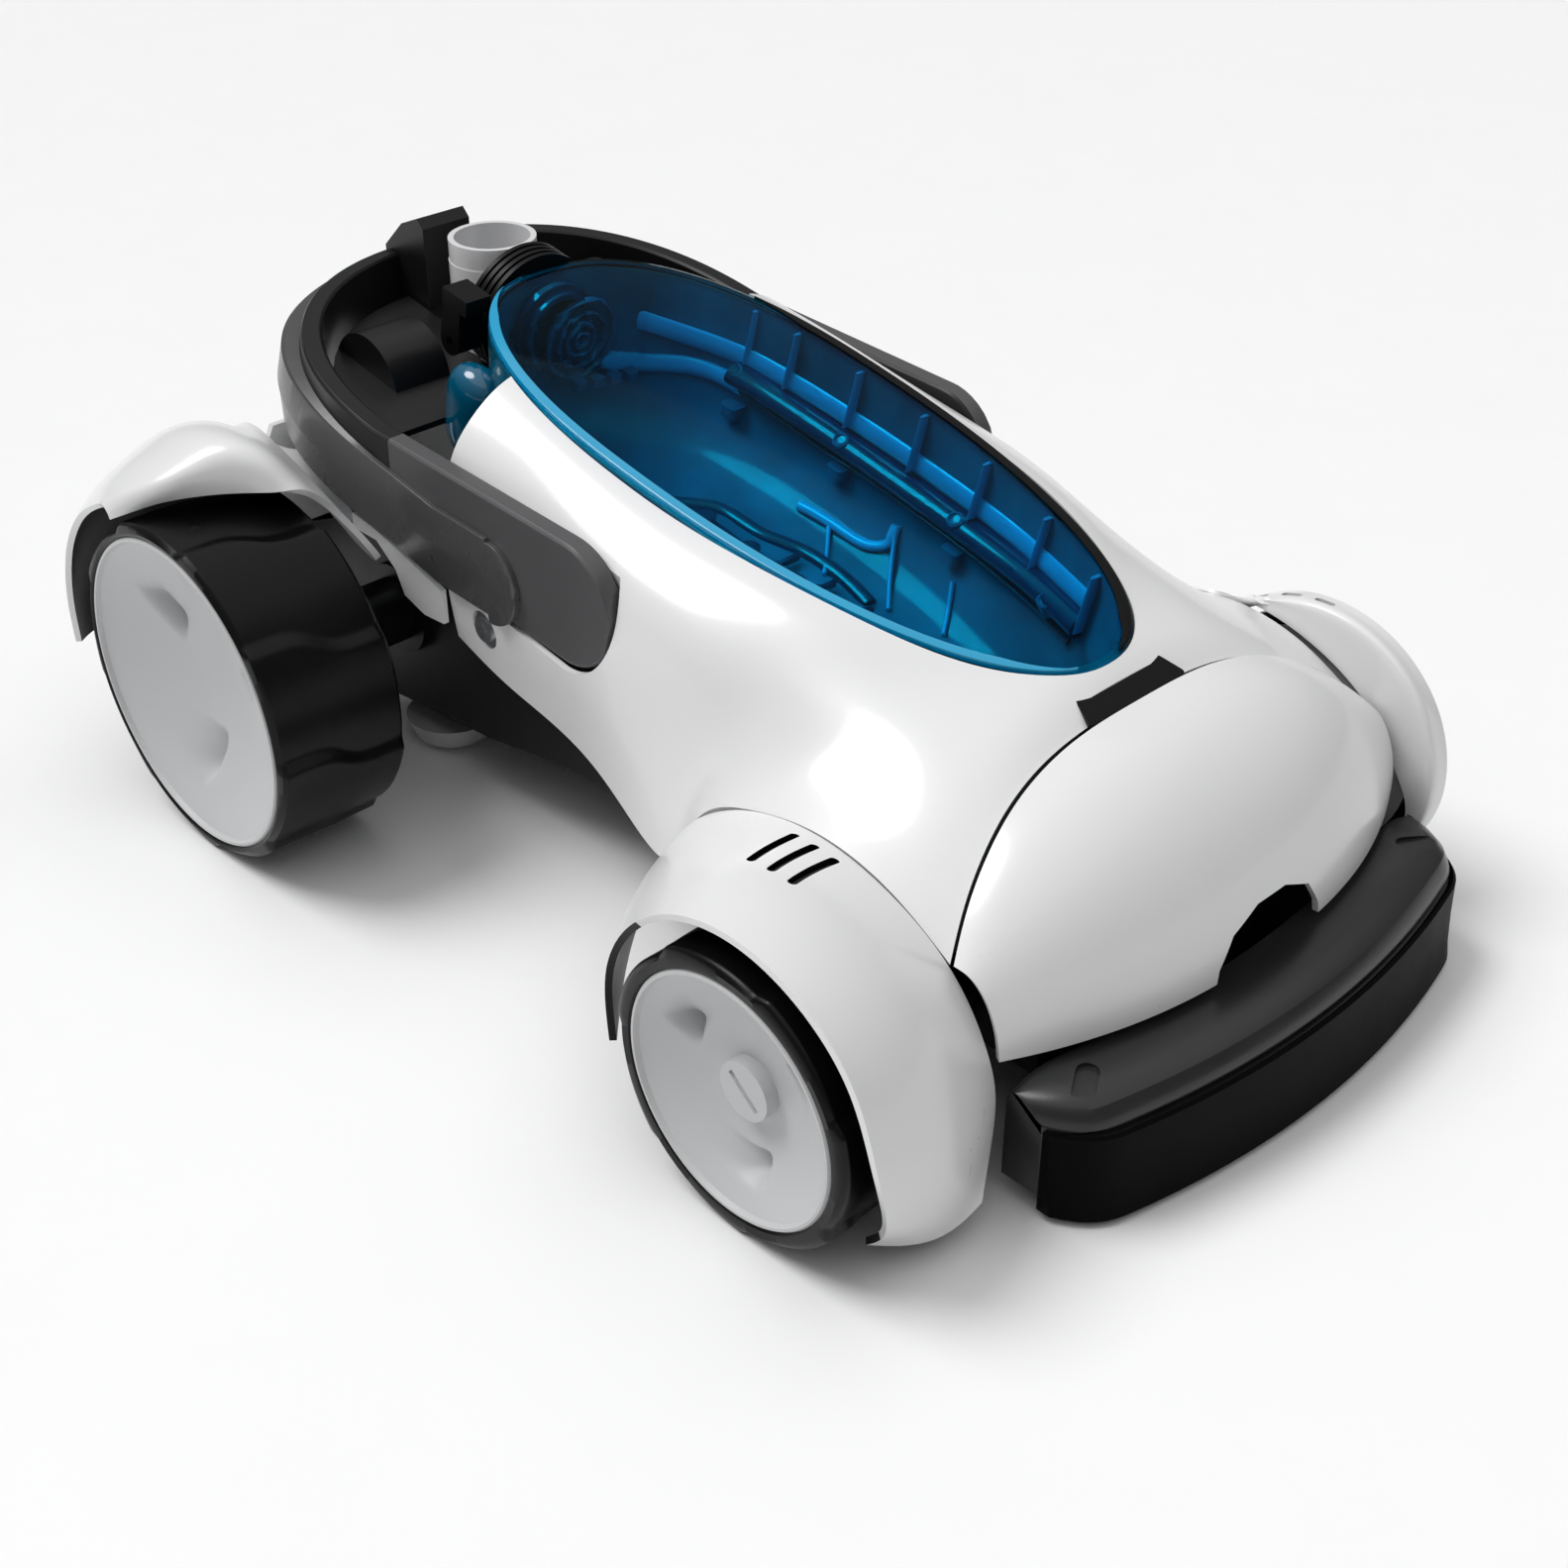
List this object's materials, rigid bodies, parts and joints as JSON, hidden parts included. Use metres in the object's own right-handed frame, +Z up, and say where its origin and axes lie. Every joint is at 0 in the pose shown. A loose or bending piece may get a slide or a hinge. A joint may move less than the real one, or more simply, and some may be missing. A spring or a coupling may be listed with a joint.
{
  "type": "pool cleaner",
  "caption": "Four-wheel suction pool cleaner with white covers, a clear blue leaf canister, a tilting carry handle and a front bumper blade.",
  "frame": {"origin": "On the floor, under the middle of the box round the object. The middle plane of the body lies at Y = 31.7 mm, because the right wheels stand further out", "axes": "+X forward, towards the bumper; +Y to the cleaner's left; +Z up"},
  "size_m": [0.5259, 0.3394, 0.2027],
  "materials": {
    "gloss_white": "smooth gloss white moulding",
    "black_plastic": "satin black moulding",
    "charcoal": "dark charcoal moulding with a soft gloss",
    "clear_blue": "clear blue moulding",
    "blue_plastic": "deep blue moulding",
    "hub_grey": "pale grey dished moulding",
    "tyre_rubber": "satin black rubber",
    "tube_silver": "silver white moulding",
    "steel": "machined steel",
    "drive_plastic": "natural acetal",
    "soft_rubber": "soft black rubber",
    "grey_plastic": "slate grey moulding"
  },
  "bodies": {
    "chassis": {"top_shell": "gloss_white", "nose_hood": "gloss_white", "fairing_right": "gloss_white", "fairing_left": "gloss_white", "fender_right": "gloss_white", "fender_left": "gloss_white", "side_trim_right": "gloss_white", "side_trim_left": "gloss_white", "rear_cowl": "gloss_white", "belly_pan": "grey_plastic", "rear_deck": "black_plastic", "handle_pocket_right": "black_plastic", "handle_pocket_left": "black_plastic", "bumper": "black_plastic", "scrubber_blade": "soft_rubber", "hose_tube": "tube_silver", "tube_collar": "black_plastic", "turbine_housing": "grey_plastic", "intake_throat": "grey_plastic", "belly_pads": "grey_plastic", "rear_bearings": "black_plastic", "front_bearings": "black_plastic", "drive_belt": "soft_rubber", "side_screws": "steel"},
    "canister": {"canister_bowl": "clear_blue", "canister_rail": "blue_plastic", "debris_screen": "blue_plastic", "outlet_ring": "blue_plastic"},
    "lid": {"canister_lid": "clear_blue", "lid_seal": "soft_rubber"},
    "clip": {"lid_clip": "black_plastic"},
    "handle": {"handle_bar": "charcoal", "grip_right": "charcoal", "grip_left": "charcoal", "latch_spring": "steel"},
    "latch": {"handle_latch": "black_plastic"},
    "rear_wheels": {"rear_axle": "steel", "rear_tyre_right": "tyre_rubber", "rear_tyre_left": "tyre_rubber", "rear_hub_right": "hub_grey", "rear_hub_left": "hub_grey", "axle_gear": "drive_plastic", "rear_pulley": "drive_plastic"},
    "front_wheels": {"front_axle": "steel", "front_tyre_right": "tyre_rubber", "front_tyre_left": "tyre_rubber", "front_hub_right": "hub_grey", "front_hub_left": "hub_grey", "front_pulley": "drive_plastic", "front_caps": "hub_grey"},
    "idler": {"idler_gear": "drive_plastic"},
    "turbine": {"turbine_wheel": "drive_plastic"}
  },
  "joints": [
    {"name": "rear_spin", "type": "hinge", "parent": "chassis", "child": "rear_wheels", "pos_m": [-0.153, 0.0317, 0.072], "axis": [0, 1, 0], "continuous": true},
    {"name": "front_spin", "type": "hinge", "parent": "chassis", "child": "front_wheels", "pos_m": [0.1605, 0.0317, 0.0546], "axis": [0, 1, 0], "continuous": true},
    {"name": "idler_spin", "type": "hinge", "parent": "chassis", "child": "idler", "pos_m": [-0.09725, 0.0317, 0.06015], "axis": [0, 1, 0], "continuous": true},
    {"name": "turbine_spin", "type": "hinge", "parent": "chassis", "child": "turbine", "pos_m": [-0.05983, 0.0317, 0.0522], "axis": [0, 1, 0], "continuous": true},
    {"name": "handle_hinge", "type": "hinge", "parent": "chassis", "child": "handle", "pos_m": [-0.022, 0.0317, 0.13], "axis": [0, 1, 0], "range_deg": [0, 65]},
    {"name": "latch_press", "type": "slide", "parent": "handle", "child": "latch", "axis": [0, 0, -1], "range_m": [0, 0.004], "stiffness_N_per_m": 1500, "springref_m": -0.0015, "deforming": ["latch_spring"]},
    {"name": "canister_lift", "type": "slide", "parent": "chassis", "child": "canister", "axis": [0.1908, 0, 0.9816], "range_m": [0, 0.13]},
    {"name": "lid_hinge", "type": "hinge", "parent": "canister", "child": "lid", "pos_m": [0.14878, 0.0317, 0.13406], "axis": [0, 1, 0], "range_deg": [0, 75]},
    {"name": "clip_rock", "type": "hinge", "parent": "canister", "child": "clip", "pos_m": [-0.16832, -0.0083, 0.17349], "axis": [0, -1, 0], "range_deg": [0, 30]}
  ],
  "couplings": [
    {"joint": "front_spin", "follows": "rear_spin", "ratio": 1.3187},
    {"joint": "idler_spin", "follows": "rear_spin", "ratio": -1.1111},
    {"joint": "turbine_spin", "follows": "rear_spin", "ratio": 2.6667}
  ]
}
